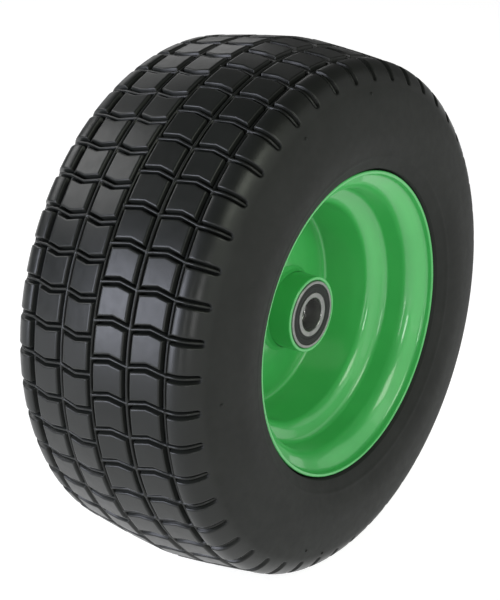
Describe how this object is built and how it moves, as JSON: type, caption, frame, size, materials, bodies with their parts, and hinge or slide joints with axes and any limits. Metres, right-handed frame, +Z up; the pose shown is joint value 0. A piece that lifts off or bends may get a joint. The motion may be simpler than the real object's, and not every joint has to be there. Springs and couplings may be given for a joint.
{
  "type": "wheelbarrow wheel",
  "caption": "Wide flat-free wheel: treaded solid tyre on a deep-dished pressed steel rim, with a hub tube running on sealed ball bearings.",
  "frame": {"origin": "centre of the wheel, on its axle line and midway between its two faces", "axes": "+Y along the axle, from the front face to the rear face; +Z up with the wheel standing on its tread"},
  "size_m": [0.4054, 0.18, 0.4054],
  "materials": {
    "tyre_rubber": "satin moulded polyurethane rubber, slightly glossier on the tread blocks",
    "green_enamel": "glossy green powder coat on pressed steel",
    "race_steel": "ground bearing steel with a light oil film",
    "ball_steel": "polished chrome steel",
    "cage_steel": "pressed steel, matt",
    "spacer_steel": "drawn tube, dull",
    "seal_rubber": "moulded nitrile rubber, satin"
  },
  "bodies": {
    "axle_sleeve": {"bearing_spacer": "spacer_steel", "inner_race_front": "race_steel", "inner_race_rear": "race_steel"},
    "wheel": {"tyre": "tyre_rubber", "rim_front_half": "green_enamel", "rim_rear_half": "green_enamel", "rim_seam_weld": "green_enamel", "hub_tube": "green_enamel", "hub_weld_front": "green_enamel", "hub_weld_rear": "green_enamel", "outer_race_front": "race_steel", "outer_race_rear": "race_steel", "outer_seal_front": "seal_rubber", "outer_seal_rear": "seal_rubber", "inner_seal_front": "seal_rubber", "inner_seal_rear": "seal_rubber"},
    "cage_front": {"cage_front": "cage_steel", "ball_front_1": "ball_steel", "ball_front_2": "ball_steel", "ball_front_3": "ball_steel", "ball_front_4": "ball_steel", "ball_front_5": "ball_steel", "ball_front_6": "ball_steel", "ball_front_7": "ball_steel", "ball_front_8": "ball_steel", "ball_front_9": "ball_steel"},
    "cage_rear": {"cage_rear": "cage_steel", "ball_rear_1": "ball_steel", "ball_rear_2": "ball_steel", "ball_rear_3": "ball_steel", "ball_rear_4": "ball_steel", "ball_rear_5": "ball_steel", "ball_rear_6": "ball_steel", "ball_rear_7": "ball_steel", "ball_rear_8": "ball_steel", "ball_rear_9": "ball_steel"}
  },
  "joints": [
    {"name": "wheel_spin", "type": "hinge", "parent": "axle_sleeve", "child": "wheel", "pos_m": [0, 0, 0], "axis": [0, 1, 0], "continuous": true},
    {"name": "cage_orbit_front", "type": "hinge", "parent": "axle_sleeve", "child": "cage_front", "pos_m": [0, -0.0385, 0], "axis": [0, 1, 0], "continuous": true},
    {"name": "cage_orbit_rear", "type": "hinge", "parent": "axle_sleeve", "child": "cage_rear", "pos_m": [0, 0.0385, 0], "axis": [0, 1, 0], "continuous": true}
  ],
  "couplings": [
    {"joint": "cage_orbit_front", "follows": "wheel_spin", "ratio": 0.60312},
    {"joint": "cage_orbit_rear", "follows": "wheel_spin", "ratio": 0.60312}
  ]
}
